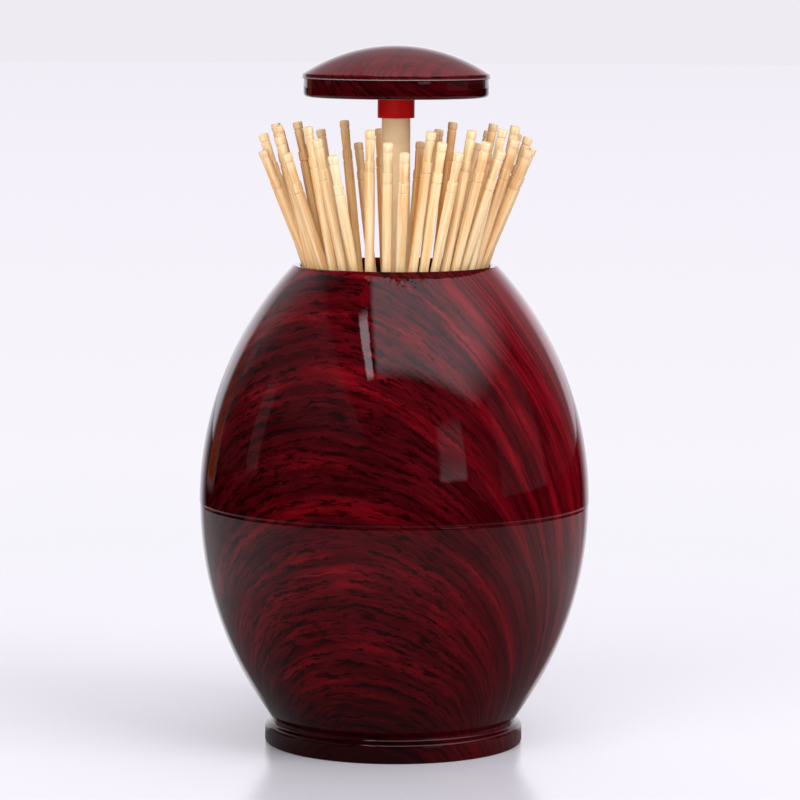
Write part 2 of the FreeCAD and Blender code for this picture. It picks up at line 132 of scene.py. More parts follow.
def total(tree, *values):
    """Sum of several numbers."""
    added = values[0]
    for value in values[1:]:
        added = figure(tree, "ADD", added, value)
    return added


def tint(tree, share, first, second):
    """Colour that goes from first to second with share."""
    return node(tree, "Mix", (0, share), (6, first), (7, second), data_type="RGBA").outputs[2]


def bands(tree, value, *stops):
    """Colour ramp; each stop is a position and a colour."""
    made = node(tree, "ValToRGB", (0, value))
    ramp = made.color_ramp
    while len(ramp.elements) < len(stops):
        ramp.elements.new(0.5)
    for element, (position, colour) in zip(ramp.elements, stops):
        element.position = position
        element.color = colour
    return made.outputs[0]


def gridded(name, points, closed_rows=True, closed_columns=True, crease=35):
    """Mesh of a (rows, columns, 3) grid of points in millimetres. Each face joins four neighbours; a
    closed direction joins its end to its start, and points that fall together become one. Edges
    that turn by more than crease degrees stay crisp."""
    rows, columns = points.shape[:2]
    index = np.arange(rows * columns).reshape(rows, columns)
    corners = [np.roll(index, (-down, -across), (0, 1))
               for down, across in ((0, 0), (0, 1), (1, 1), (1, 0))]
    faces = np.stack(corners, -1)[:rows - (not closed_rows), :columns - (not closed_columns)]
    mesh = bpy.data.meshes.new(name)
    mesh.from_pydata((points.reshape(-1, 3) * MM).tolist(), [], faces.reshape(-1, 4).tolist())
    work = bmesh.new()
    work.from_mesh(mesh)
    bmesh.ops.remove_doubles(work, verts=work.verts, dist=1e-7)
    bmesh.ops.recalc_face_normals(work, faces=work.faces)
    work.to_mesh(mesh)
    work.free()
    mesh.shade_smooth()
    mesh.set_sharp_from_angle(angle=radians(crease))
    return mesh


def revolved(name, outline, around=180, closed=True):
    """Surface of revolution: each point (radius, height) of the outline goes round the axis, so at
    angle a it is (radius sin a, -radius cos a, height). A closed outline gives a solid's skin."""
    radius, height = np.asarray(outline, float).T
    turn = np.linspace(0, 2 * pi, around, endpoint=False)
    points = np.stack([np.outer(np.sin(turn), radius), -np.outer(np.cos(turn), radius),
                       np.broadcast_to(height, (around, len(radius)))], -1)
    return gridded(name, points, closed_columns=closed)


BACKDROP, CABINET = display(238, 235, 243), display(205, 90, 20)
CABINET_SIDES = (-143.0, -132.0, 1.0, 3.0)
table = bpy.data.objects.new(
    "table", revolved("table", [(0, 0), (60, 0), (400, 0), (6000, 0)], closed=False))
scene.collection.objects.link(table)

acrylic = bpy.data.materials.new("acrylic")
acrylic.use_nodes = True
tree = acrylic.node_tree
tree.nodes.clear()
place = node(tree, "TexCoord").outputs["Object"]
flat = arrow(tree, "MULTIPLY", place, (1.0, 1.0, 0.0))
away = arrow(tree, "LENGTH", flat)
reach = figure(tree, "DIVIDE", away, figure(tree, "ADD", away, 0.6))
# Painted light: the backdrop's colour is lightest about half a metre out and a little dimmer nearer and
# further off.
glow_colour = bands(tree, reach, (0.0, display(240, 239, 245)), (0.24, display(245, 243, 250)),
                    (0.45, display(248, 245, 253)), (0.65, display(246, 243, 251)),
                    (0.80, display(244, 241, 250)), (1.0, BACKDROP))
path = node(tree, "LightPath")
round_it = bearing(tree, place)
# For the lacquer's reflections the sheet glows instead of being lit. Close round the case that glow is dim,
# and dimmer still right by the foot: painted shade standing in for the case's shadow. It is brighter to the
# sides, bright behind the case, and warm where the cabinet stands.
near = ease(tree, away, 0.375, 0.40, 1.0, 0.0)
near = figure(tree, "MULTIPLY", near, figure(tree, "ADD", 0.14, figure(
    tree, "MULTIPLY", span(tree, figure(tree, "ABSOLUTE", round_it), 65.0, 150.0, 25.0, 20.0), 0.20)))
near = figure(tree, "MULTIPLY", near, ease(tree, away, 0.05, 0.16, 0.5, 1.3))
place = node(tree, "SeparateXYZ", (0, place)).outputs
aside = figure(tree, "SUBTRACT", figure(tree, "ABSOLUTE", place[0]), 0.035)
aside = figure(tree, "MULTIPLY", figure(tree, "ARCTAN2", aside, place[1]), 180 / pi)
behind = figure(tree, "MULTIPLY", ease(tree, aside, 16.0, 36.0, 1.0, 0.0),
                ease(tree, place[1], 0.0, 0.03))
mirrored = figure(tree, "MAXIMUM", near, behind)
cabinet = figure(tree, "MULTIPLY", span(tree, round_it, *CABINET_SIDES),
                 ease(tree, away, 0.5, 0.9))
mirrored = figure(tree, "MAXIMUM", mirrored, figure(tree, "MULTIPLY", cabinet, 0.55))
strength = node(tree, "Mix", (0, path.outputs["Is Glossy Ray"]), (2, 1.0), (3, mirrored)).outputs[0]
warm = figure(tree, "MULTIPLY", cabinet, path.outputs["Is Glossy Ray"])
glow = node(tree, "Emission", ("Color", tint(tree, warm, glow_colour, CABINET)),
            ("Strength", strength))
sheet = node(tree, "BsdfPrincipled", ("Base Color", display(237, 235, 242)), ("Roughness", 0.18),
             ("Specular IOR Level", 0.4))
seen = figure(tree, "ADD", path.outputs["Is Camera Ray"], path.outputs["Is Transmission Ray"])
far = ease(tree, away, 0.10, 0.34)
share = figure(tree, "MAXIMUM", figure(tree, "MULTIPLY", seen, far), path.outputs["Is Glossy Ray"])
mixed = node(tree, "MixShader", (0, share), (1, sheet.outputs[0]), (2, glow.outputs[0]))
node(tree, "OutputMaterial", (0, mixed.outputs[0]))
table.data.materials.append(acrylic)

# The room: a pale backdrop behind, a dimmer ceiling, and a dark side towards the camera.
world = bpy.data.worlds.new("studio")
scene.world = world
world.use_nodes = True
tree = world.node_tree
tree.nodes.clear()
heading = node(tree, "TexCoord").outputs["Generated"]
path = node(tree, "LightPath")
rise = node(tree, "SeparateXYZ", (0, heading)).outputs[2]
climb = figure(tree, "MULTIPLY", figure(tree, "ARCSINE", rise), 180 / pi)
round_it = bearing(tree, heading)
overhead = node(tree, "SeparateXYZ", (0, arrow(
    tree, "DIVIDE", heading, node(tree, "CombineXYZ", *((k, figure(tree, "MAXIMUM", rise, 0.05))
                                                        for k in range(3))).outputs[0]))).outputs


def glow_patch(sideways, lengthways, strength):
    """Soft-edged bright patch; each direction has its value, both ends and the softness of each."""
    return figure(tree, "MULTIPLY", strength, figure(
        tree, "MULTIPLY", span(tree, *sideways), span(tree, *lengthways)))


back_wall = figure(tree, "MULTIPLY", ease(tree, figure(tree, "ABSOLUTE", round_it), 143.0, 149.0),
                   ease(tree, climb, 6.0, 28.0, 1.0, 0.0))
ceiling = ease(tree, arrow(tree, "DOT_PRODUCT", heading, (0.0, 0.80, 0.60)), 0.50, 0.88, 0.02, 0.5)
panel = glow_patch((overhead[0], -0.265, 1.35, 0.035, 0.50), (overhead[1], -1.03, 1.2, 0.13, 0.3),
                   ease(tree, overhead[1], -0.3, 0.7, 1.6, 0.6))
bar = glow_patch((overhead[0], -0.43, -0.325, 0.01, 0.01), (overhead[1], -1.07, -0.42, 0.06, 0.08), 4.0)
left_panel = figure(tree, "MULTIPLY", ease(tree, overhead[0], -0.86, -0.76, 0.10, 0.0),
                    ease(tree, climb, 10.0, 30.0))
window = glow_patch((round_it, 27.5, 43.5, 1.6, 0.8), (climb, 6.5, 24.0, 0.8, 3.0),
                    ease(tree, climb, 6.0, 14.0, 0.85, 0.36))
left_window = glow_patch((round_it, -99.0, -89.0, 1.0, 1.0), (climb, 3.0, 24.0, 2.0, 3.0), 0.15)
right_side = glow_patch((round_it, 66.0, 101.0, 2.0, 2.0), (climb, -10.0, 48.0, 2.0, 8.0), 0.10)
room = total(tree, back_wall, figure(tree, "MAXIMUM", ceiling, panel),
             bar, left_panel, window, left_window, right_side)
wooden = glow_patch((round_it, *CABINET_SIDES), (climb, -4.0, 16.0, 2.0, 6.0), 0.9)
seen = figure(tree, "ADD", path.outputs["Is Camera Ray"], path.outputs["Is Transmission Ray"])
level = node(tree, "Mix", (0, seen), (2, room), (3, 1.0)).outputs[0]
hue = tint(tree, figure(tree, "MULTIPLY", wooden, figure(tree, "SUBTRACT", 1.0, seen)),
           BACKDROP, CABINET)
level = figure(tree, "MAXIMUM", level, figure(tree, "MULTIPLY", wooden, 0.5))
air = node(tree, "Background", ("Color", hue), ("Strength", level))
node(tree, "OutputWorld", (0, air.outputs[0]))


def lamp(name, centre, size, radiance):
    """Rectangular soft lamp, centre and size in metres, turned towards the middle of the case and
    kept out of the lacquer's reflections."""
    light = bpy.data.lights.new(name, "AREA")
    light.shape = "RECTANGLE"
    light.size, light.size_y = size
    light.energy = radiance * pi * size[0] * size[1]
    made = bpy.data.objects.new(name, light)
    made.location = centre
    made.rotation_euler = (Vector((0, 0, 0.08)) - Vector(centre)).to_track_quat("-Z", "Y").to_euler()
    made.visible_glossy = False
    made.visible_camera = False
    scene.collection.objects.link(made)


lamp("key", (1.25, -1.0, 1.12), (1.2, 1.2), 4.0)
lamp("fill", (-0.5, -1.2, 0.5), (1.6, 1.0), 3.2)


# ---------------------------------------------------------------- lower half of the case
# Injection-moulded half egg with a low foot ring, wrapped in a printed rosewood film under clear
# lacquer. A spigot at its top takes the upper half; the base plate screws in from below.
BELLY_RADIUS, BELLY_HEIGHT = 42.4, 52.8
UPPER_ARC, LOWER_ARC = 75.3, 80.0
WALL = 2.0
SEAM_STEP = 0.14


def barrel(height, arc, widest):
    """Distance from the axis of an arc that is widest at the seam: the arc's centre lies on the
    seam's level, so the radius is widest - arc + sqrt(arc^2 - rise^2)."""
    return widest - arc + np.sqrt(arc ** 2 - (height - BELLY_HEIGHT) ** 2)


def curve(start, corner, end, steps=6):
    """Rounded corner: the quadratic curve that leaves start and reaches end along the two lines that
    meet in corner."""
    share = np.linspace(0, 1, steps)[:, None]
    return ((1 - share) ** 2 * np.array(start) + 2 * share * (1 - share) * np.array(corner)
            + share ** 2 * np.array(end))


def walls(heights, arc, widest):
    """Points of an arc of the case at those heights."""
    return np.stack([barrel(heights, arc, widest), heights], -1)


def piece(mesh, material, body, stood_for):
    """Object for a mesh that stands for nodes of the frame, rides their body and has their finish."""
    made = bpy.data.objects.new(mesh.name, mesh)
    scene.collection.objects.link(made)
    mesh.materials.append(material)
    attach(made, body)
    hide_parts(stood_for)


def blank_material(name, **sockets):
    """Material with one main shader; sockets are its values, with _ for a space in their names."""
    material = bpy.data.materials.new(name)
    material.use_nodes = True
    tree = material.node_tree
    tree.nodes.clear()
    shader = node(tree, "BsdfPrincipled",
                  *((key.replace("_", " "), value) for key, value in sockets.items()))
    node(tree, "OutputMaterial", (0, shader.outputs[0]))
    return material, tree, shader


def in_millimetres(tree):
    """Place of the shaded point on its object, in millimetres."""
    return arrow(tree, "SCALE", node(tree, "TexCoord").outputs["Object"], 1 / MM)


def cloud(tree, vector, scale, detail, rough=0.5, depth=None):
    """Noise from 0 to 1; depth adds a fourth direction."""
    inputs = [("Vector", vector), ("Scale", scale), ("Detail", detail), ("Roughness", rough)]
    if depth is not None:
        inputs.append(("W", depth))
    return node(tree, "TexNoise", *inputs,
                noise_dimensions="3D" if depth is None else "4D").outputs[0]


# The print's rings are arches at the front. Each row is the level of an arch's top, the angle at which
# it stands (degrees, + to the right), and how it falls away with the second and fourth power of the
# angle (micrometres and picometres).
ARCHES = np.array([
    (0, -12.0, 7.0, 300), (25, -13.0, 6.6, 300), (36, -13.5, 8.2, 300), (54, -15.0, 9.0, 300),
    (62, -19.0, 7.2, 350), (84, -25.6, 6.4, 380), (97, -30.4, 2.9, 800), (112, -35.0, 1.3, 520),
    (130, -38.0, 0.8, 420), (200, -45.0, 0.8, 420)])
# How light the film is on each ring, from 0 to 1.
RING_TONES = [
    (0, 0.45), (24, 0.5), (30, 0.4), (46, 0.5), (53.5, 0.25), (57.5, 0.62), (61.5, 0.2), (66, 0.4),
    (74, 0.25), (80, 0.5), (83.7, 0.6), (87, 0.4), (93, 0.45), (96.3, 0.7), (99.5, 0.45), (102, 0.4),
    (106, 0.8), (110, 0.6), (114, 0.85), (119, 0.75), (127, 1.0), (132, 0.7), (141, 1.1), (150, 0.8),
    (160, 0.9)]
BACK_ARCH, BACK_LEVEL, BACK_FALL, BLEND = 165.0, 38.0, 0.0072, 5.0
RING_RANGE = 160
RIM_HEIGHT, LID_SEAM = 104.3, 144.5
CASE_ENDS, LID_STARTS = 110.0, 138.0
HOLE_TURN, HOLE_HEIGHT = -14.1, 99.7
PORE_SPACING = 2.5


def arch_rings(points):
    """Ring that passes through each point (mm), named by the level of its top: the level whose arch,
    top - second * angle^2 - fourth * angle^4, comes down to the point's height. It is found by
    halving a range. A second set of arches stands at the back, and a soft minimum joins the two."""
    x, y, height = points.T
    angle = np.degrees(np.arctan2(x, -y))
    low, high = height - 1, height + RING_RANGE
    for _ in range(28):
        middle = (low + high) / 2
        stands, second, fourth = (np.interp(middle, ARCHES[:, 0], ARCHES[:, k]) for k in (1, 2, 3))
        turned = (angle - stands + 195) % 360 - 195
        above = middle - second * 1e-3 * turned ** 2 - fourth * 1e-9 * turned ** 4 > height
        low, high = np.where(above, low, middle), np.where(above, middle, high)
    behind = (angle - BACK_ARCH + 180) % 360 - 180
    second_set = height + BACK_LEVEL + BACK_FALL * behind ** 2
    return -BLEND * np.logaddexp(-(low + high) / 2 / BLEND, -second_set / BLEND)


def places(mesh):
    """Points of a mesh in millimetres, one row for each."""
    points = np.zeros(len(mesh.vertices) * 3)
    mesh.vertices.foreach_get("co", points)
    return points.reshape(-1, 3) / MM


def ringed(mesh, rings):
    """Keeps the print's ring of each point of a mesh in its attribute "ring"."""
    stored = mesh.attributes.new("ring", "FLOAT", "POINT")
    stored.data.foreach_set("value", rings(places(mesh)).astype(np.float32))
    return mesh


def printed(name):
    """Printed rosewood film under clear lacquer. Noise over the place and the ring, finer across the rings
    than along them, draws broad tones, short ragged black pores on every ring, and towards the right long
    fine lines in their stead. Painted shade darkens the colour towards the bottom of the case, more on the
    left than on the right. Under the lip the film ends in a torn edge, and there and in one small hole
    beside it the bare dark red moulding shows. Over the lid the print is fainter on the dome, and painted
    shade darkens the band. A fine pale painted highlight runs round the bead at the lid's seam."""
    material, tree, shader = blank_material(name, Roughness=0.5, Specular_IOR_Level=0.0,
                                            Coat_Weight=1.0, Coat_Roughness=0.02, Coat_IOR=1.5)
    place = in_millimetres(tree)
    ring = node(tree, "Attribute", attribute_name="ring").outputs["Fac"]
    sway = figure(tree, "MULTIPLY_ADD", cloud(tree, place, 0.07, 1.0), 2.4, -1.2)
    ragged = figure(tree, "MULTIPLY_ADD", cloud(tree, place, 0.8, 2.0, 0.6), 1.2, -0.6)
    ring = figure(tree, "ADD", ring, figure(tree, "ADD", sway, ragged))
    height = node(tree, "SeparateXYZ", (0, place)).outputs[2]
    side = node(tree, "SeparateXYZ", (0, arrow(tree, "NORMALIZE", arrow(
        tree, "MULTIPLY", place, (1.0, 1.0, 0.0))))).outputs[0]
    right = ease(tree, side, 0.1, 0.7)

    broad = node(tree, "FloatCurve", (1, figure(tree, "DIVIDE", ring, float(RING_RANGE))))
    shape = broad.mapping.curves[0]
    for level, tone in RING_TONES[1:-1]:
        shape.points.new(level / RING_RANGE, tone)
    shape.points[0].location = (0, RING_TONES[0][1])
    shape.points[-1].location = (1, RING_TONES[-1][1])
    broad.mapping.update()
    fine = cloud(tree, arrow(tree, "SCALE", place, 0.07), 1.0, 3.0, 0.65,
                 figure(tree, "MULTIPLY", ring, 0.50))
    tone = figure(tree, "MULTIPLY_ADD", figure(tree, "SUBTRACT", fine, 0.5),
                  ease(tree, right, 0.0, 1.0, 1.5, 0.9), broad.outputs[0])
    ground = bands(tree, tone, (0.0, display(40, 1, 5)), (0.40, display(66, 4, 10)),
                   (0.65, display(88, 4, 12)), (1.0, display(126, 10, 24)))

    wave = figure(tree, "SINE", figure(tree, "MULTIPLY", ring, 2 * pi / PORE_SPACING))
    grown = cloud(tree, arrow(tree, "SCALE", place, 0.26), 1.0, 3.0, 0.6,
                  figure(tree, "MULTIPLY", ring, 1.45))
    grown = figure(tree, "MULTIPLY_ADD", wave, 0.045, grown)
    sparse = cloud(tree, place, 0.05, 1.0)
    edge = figure(tree, "MULTIPLY_ADD", sparse, -0.15, 0.60)
    pores = ease(tree, figure(tree, "SUBTRACT", grown, edge), -0.03, 0.10)
    pores = figure(tree, "MULTIPLY", pores, ease(tree, right, 0.0, 1.0, 0.85, 0.25))
    drawn = cloud(tree, arrow(tree, "SCALE", place, 0.045), 1.0, 2.0, 0.65,
                  figure(tree, "MULTIPLY", ring, 0.50))
    drawn = figure(tree, "MULTIPLY_ADD", wave, 0.02, drawn)
    drawn = figure(tree, "MULTIPLY", ease(tree, drawn, 0.46, 0.60), ease(tree, right, 0.0, 1.0, 0.6, 0.58))
    colour = tint(tree, drawn, ground, display(36, 0, 2))
    colour = tint(tree, pores, colour, display(16, 0, 1))
    # Painted shade: the colour darkens towards the bottom of the case, and more on its left side than on
    # its right.
    painted_shade = figure(tree, "MULTIPLY", ease(tree, height, 1.0, 30.0, 0.85, 0.0),
                   ease(tree, side, 0.0, 0.8, 1.0, 0.25))
    colour = tint(tree, ease(tree, height, LID_SEAM, LID_SEAM + 2.5, 0.0, 0.7), colour, display(84, 8, 13))
    # Painted shade also darkens the lid's band below the dome.
    lid = ease(tree, height, LID_STARTS, LID_STARTS + 1)
    painted_shade = figure(tree, "MAXIMUM", painted_shade, figure(
        tree, "MULTIPLY", lid, ease(tree, height, LID_SEAM + 0.3, LID_SEAM + 1.7, 0.8, 0.0)))
    colour = tint(tree, painted_shade, colour, display(12, 0, 1))

    turn = bearing(tree, place)
    ragged = cloud(tree, arrow(tree, "MULTIPLY", place, (1.0, 1.0, 0.25)), 1.1, 3.0, 0.75)
    worn = ease(tree, figure(tree, "ABSOLUTE", figure(tree, "SUBTRACT", turn, 18.0)), 5.0, 65.0, 0.35, -1.2)
    hung = figure(tree, "MULTIPLY", ease(tree, ragged, 0.50, 0.66),
                  span(tree, turn, -4.0, 12.0, 3.0, 3.0))
    edge = figure(tree, "SUBTRACT", RIM_HEIGHT - 0.1, figure(tree, "ADD", worn, figure(
        tree, "ADD", figure(tree, "MULTIPLY", hung, 2.2), figure(tree, "MULTIPLY", ragged, 1.0))))
    bare = figure(tree, "MULTIPLY", ease(tree, figure(tree, "SUBTRACT", height, edge), -0.5, -0.35),
                  span(tree, turn, -50.0, 80.0, 6.0, 6.0))
    across = figure(tree, "ABSOLUTE", figure(tree, "SUBTRACT", turn, HOLE_TURN))
    along = figure(tree, "ABSOLUTE", figure(tree, "SUBTRACT", height, HOLE_HEIGHT))
    drop = figure(tree, "ADD", figure(tree, "DIVIDE", across, 3.0), figure(tree, "DIVIDE", along, 2.6))
    drop = figure(tree, "MULTIPLY_ADD", ragged, 0.5, drop)
    on_case = ease(tree, height, CASE_ENDS, CASE_ENDS + 1, 1.0, 0.0)
    hole = figure(tree, "MULTIPLY", ease(tree, drop, 1.10, 1.25, 1.0, 0.0), on_case)
    bare = figure(tree, "MULTIPLY", figure(tree, "MAXIMUM", bare, hole), on_case)
    colour = tint(tree, bare, colour, tint(tree, ease(tree, grown, 0.45, 0.6), display(78, 2, 8),
                                           display(38, 2, 4)))
    colour = tint(tree, hole, colour, display(84, 3, 12))
    # Painted highlight: a fine pale line round the bead at the lid's seam.
    bead_highlight = span(tree, height, LID_SEAM + 0.06, LID_SEAM + 0.24, 0.02, 0.02)
    colour = tint(tree, figure(tree, "MULTIPLY", bead_highlight, 0.42), colour, display(205, 180, 178))
    tree.links.new(colour, shader.inputs["Base Color"])
    tree.links.new(ease(tree, bare, 0.0, 1.0, 1.0, 0.1), shader.inputs["Coat Weight"])

    peel = cloud(tree, place, 0.9, 1.0)
    bump = node(tree, "Bump", ("Height", peel), ("Strength", 0.05), ("Distance", 0.0001))
    tree.links.new(bump.outputs[0], shader.inputs["Coat Normal"])
    return material


rosewood = printed("rosewood")

FOOT_RADIUS, FOOT_SHOULDER, FOOT_ROUND = 28.1, 3.6, 1.0
NECK_HEIGHT = 5.2
RECESS_RADIUS, RECESS_DEPTH = 24.6, 2.8
LEDGE_RADIUS, LEDGE_TOP = 18.0, 5.0
lower_belly = BELLY_RADIUS - SEAM_STEP
spigot = BELLY_RADIUS - WALL - 0.2
neck = barrel(NECK_HEIGHT, LOWER_ARC, lower_belly)
shoulder = FOOT_RADIUS - FOOT_ROUND
outline = np.concatenate([
    curve((FOOT_RADIUS - 0.6, 0), (FOOT_RADIUS, 0), (FOOT_RADIUS, 0.6)),
    curve((FOOT_RADIUS, FOOT_SHOULDER - 0.2), (FOOT_RADIUS, FOOT_SHOULDER + 0.6),
          (shoulder, FOOT_SHOULDER + 0.9)),
    curve((shoulder - 0.2, FOOT_SHOULDER + 1.1), (neck, NECK_HEIGHT - 0.1),
          (neck + 0.15, NECK_HEIGHT + 0.25)),
    walls(np.linspace(NECK_HEIGHT + 0.5, BELLY_HEIGHT - 0.1, 90), LOWER_ARC, lower_belly),
    [(lower_belly - 0.05, BELLY_HEIGHT), (spigot, BELLY_HEIGHT), (spigot, BELLY_HEIGHT + 3),
     (spigot - 1, BELLY_HEIGHT + 3)],
    walls(np.linspace(BELLY_HEIGHT - 4, LEDGE_TOP, 30), LOWER_ARC - WALL, BELLY_RADIUS - WALL),
    [(LEDGE_RADIUS, LEDGE_TOP), (LEDGE_RADIUS, RECESS_DEPTH), (RECESS_RADIUS, RECESS_DEPTH),
     (RECESS_RADIUS, 0)],
])
piece(ringed(revolved("lower_half", outline), arch_rings), rosewood, "case", "lower_shell")

# ---------------------------------------------------------------- upper half of the case
# The matching moulded half, pressed over the spigot. Its film runs on from the lower half's, and the
# rim is rolled in to a thin rounded lip round the mouth.
MOUTH_RADIUS, LIP_ROUND, LIP_DEPTH = 20.65, 0.45, 1.5
LINER_SEAT = 22.1
EDGE_ROUND = 0.12
lip_low = RIM_HEIGHT - LIP_ROUND
lip_out = barrel(lip_low, UPPER_ARC, BELLY_RADIUS)
throat_low = BELLY_HEIGHT + np.sqrt((UPPER_ARC - WALL) ** 2
                                    - (LINER_SEAT - BELLY_RADIUS + UPPER_ARC) ** 2)
outline = np.concatenate([
    curve((BELLY_RADIUS - EDGE_ROUND, BELLY_HEIGHT), (BELLY_RADIUS, BELLY_HEIGHT),
          (BELLY_RADIUS, BELLY_HEIGHT + EDGE_ROUND), 4),
    walls(np.linspace(BELLY_HEIGHT + 0.4, lip_low, 110), UPPER_ARC, BELLY_RADIUS),
    curve((lip_out - 0.02, lip_low + 0.03), (lip_out - 0.25, RIM_HEIGHT),
          (lip_out - LIP_ROUND * 1.2, RIM_HEIGHT)),
    curve((MOUTH_RADIUS + LIP_ROUND, RIM_HEIGHT), (MOUTH_RADIUS, RIM_HEIGHT), (MOUTH_RADIUS, lip_low)),
    [(MOUTH_RADIUS, RIM_HEIGHT - LIP_DEPTH), (LINER_SEAT, RIM_HEIGHT - LIP_DEPTH)],
    walls(np.linspace(throat_low, BELLY_HEIGHT, 50), UPPER_ARC - WALL, BELLY_RADIUS - WALL),
])
piece(ringed(revolved("upper_half", outline), arch_rings), rosewood, "case", "upper_shell")


# ---------------------------------------------------------------- throat liner
# Black moulded tube under the lip, held by its flange; it keeps the toothpicks off the case's wall.
def plastic(name, colour, mottle, roughness, **sockets):
    """Moulded plastic: the colour drifts a little towards mottle, with a fine skin in the gloss."""
    material, tree, shader = blank_material(name, Roughness=roughness, **sockets)
    place = in_millimetres(tree)
    drift = ease(tree, cloud(tree, place, 0.16, 2.0), 0.35, 0.65)
    tree.links.new(tint(tree, drift, colour, mottle), shader.inputs["Base Color"])
    skin = cloud(tree, place, 1.2, 2.0)
    tree.links.new(ease(tree, skin, 0.2, 0.8, roughness * 0.85, roughness * 1.2),
                   shader.inputs["Roughness"])
    bump = node(tree, "Bump", ("Height", skin), ("Strength", 0.15), ("Distance", 0.00005))
    tree.links.new(bump.outputs[0], shader.inputs["Normal"])
    return material


black_plastic = plastic("black_plastic", display(20, 18, 19), display(30, 27, 28), 0.42)
LINER_INNER, LINER_OUTER, LINER_LOW, LINER_TOP = 21.0, 22.0, 64.0, 102.8
FLANGE_RADIUS, FLANGE_LOW, FLANGE_TOP = 25.2, 96.0, 97.2
outline = [(LINER_INNER, LINER_LOW), (LINER_OUTER, LINER_LOW), (LINER_OUTER, FLANGE_LOW),
           (FLANGE_RADIUS, FLANGE_LOW), (FLANGE_RADIUS, FLANGE_TOP), (LINER_OUTER, FLANGE_TOP),
           (LINER_OUTER, LINER_TOP), (LINER_INNER, LINER_TOP)]
piece(revolved("throat", outline, 120), black_plastic, "case", "mouth_liner")

# ---------------------------------------------------------------- base plate, screws, post and latch
# Parts inside and under the case keep their exact solids and get their finishes here: black moulded
# plastic for the plate, dish and bracket, bright plating for the post and the screws.
def metal(name, colour, stain, roughness):
    """Drawn or plated metal: the colour goes to stain in faint clouds, the gloss in fine lines."""
    material, tree, shader = blank_material(name, Metallic=1.0)
    place = in_millimetres(tree)
    drift = ease(tree, cloud(tree, place, 0.5, 3.0), 0.4, 0.7)
    tree.links.new(tint(tree, drift, colour, stain), shader.inputs["Base Color"])
    lines = cloud(tree, arrow(tree, "MULTIPLY", place, (6.0, 6.0, 0.3)), 1.0, 2.0)
    tree.links.new(ease(tree, lines, 0.3, 0.7, roughness * 0.7, roughness * 1.3),
                   shader.inputs["Roughness"])
    return material


def dress(name, finish):
    """Gives a node that keeps its exact solid its finish."""
    nodes[name].data.materials.clear()
    nodes[name].data.materials.append(finish)


plated_steel = metal("plated_steel", display(205, 205, 208), display(176, 176, 182), 0.22)
spring_steel = metal("spring_steel", display(150, 150, 152), display(112, 110, 110), 0.32)
finishes = {
    "base_plate": black_plastic, "carrier_dish": black_plastic, "latch_bracket": black_plastic,
    "base_screws": plated_steel, "guide_post": plated_steel, "stop_screw": plated_steel,
    "latch_wire": spring_steel,
}
for name, finish in finishes.items():
    dress(name, finish)

# ---------------------------------------------------------------- return spring
# Round steel wire coiled round the post, its foot on the base. In the real part the turns close up evenly
# by the length of the stroke as the lid is pressed; here the coil is one fixed mesh that rides the case.
COILS, SPRING_RADIUS, WIRE_RADIUS = 15, 3.5, 0.3
SPRING_LOW, SPRING_HIGH = 9.35, 64.55
turns = np.linspace(0, 1, COILS * 36 + 1)
angle = 2 * pi * COILS * turns
level = SPRING_LOW + (SPRING_HIGH - SPRING_LOW) * turns
line = np.stack([SPRING_RADIUS * np.cos(angle), SPRING_RADIUS * np.sin(angle), level], -1)
outward = np.stack([np.cos(angle), np.sin(angle), 0 * angle], -1)
round_wire = np.linspace(0, 2 * pi, 12, endpoint=False)
thick = WIRE_RADIUS * np.concatenate([[0], np.ones(len(turns) - 2), [0]])
points = (line[:, None] + (thick[:, None] * np.cos(round_wire))[..., None] * outward[:, None]
          + (thick[:, None] * np.sin(round_wire))[..., None] * np.array([0, 0, 1]))
spring = bpy.data.objects.new("coil_spring", gridded("coil_spring", points, closed_rows=False))
scene.collection.objects.link(spring)
spring.data.materials.append(spring_steel)
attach(spring, "case")
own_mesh(spring)
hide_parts("return_spring")

# ---------------------------------------------------------------- stem
# Cream tube that slides on the post and carries the dish and the lid; a flange at its foot. The bush
# in it and the cam under the dish keep their exact solids and are of the same plastic.
cream_plastic = plastic("cream_plastic", display(238, 206, 164), display(230, 194, 150), 0.34,
                        Subsurface_Weight=0.25, Subsurface_Radius=(1.0, 0.6, 0.35),
                        Subsurface_Scale=0.002)
STEM_BORE, STEM_RADIUS, STEM_FLANGE = 2.35, 3.1, 4.4
STEM_LOW, FLANGE_RISE, BORE_TOP, STEM_TOP = 64.9, 66.0, 135.0, 143.0
outline = [(STEM_BORE, STEM_LOW), (STEM_FLANGE, STEM_LOW), (STEM_FLANGE, FLANGE_RISE),
           (STEM_RADIUS, FLANGE_RISE), (STEM_RADIUS, STEM_TOP), (0, STEM_TOP), (0, BORE_TOP),
           (STEM_BORE, BORE_TOP)]
piece(revolved("stem", outline, 64), cream_plastic, "press", "stem_tube")
for name in ("stem_bush", "heart_cam"):
    dress(name, cream_plastic)

# ---------------------------------------------------------------- lid
# Domed cap pressed into a flat-bottomed band, both in the same lacquered print, on a red collar. A
# fine bead runs round the cap's lower edge.
LID_TOP, DOME_ARC, DOME_EDGE, DOME_WALL = 151.7, 36.2, 145.6, 1.8
LID_RADIUS, BEAD_RADIUS, BEAD_FOOT = 20.25, 20.40, 20.13
LUG_INNER, LUG_OUTER, LUG_DEPTH = 17.3, 18.41, 1.9


def dome(radius, arc):
    """Height of the dome over a radius: a sphere of that arc about a fixed centre."""
    return LID_TOP - DOME_ARC + np.sqrt(arc ** 2 - radius ** 2)


def lid_rings(points):
    """Rings of the print over the lid: nearly straight and slanting, with a slight bow, so a point's
    ring is a mix of its three distances."""
    x, y, height = points.T
    return 20 + 1.3 * x - 0.85 * y + 1.5 * height + 0.009 * (x + y) ** 2


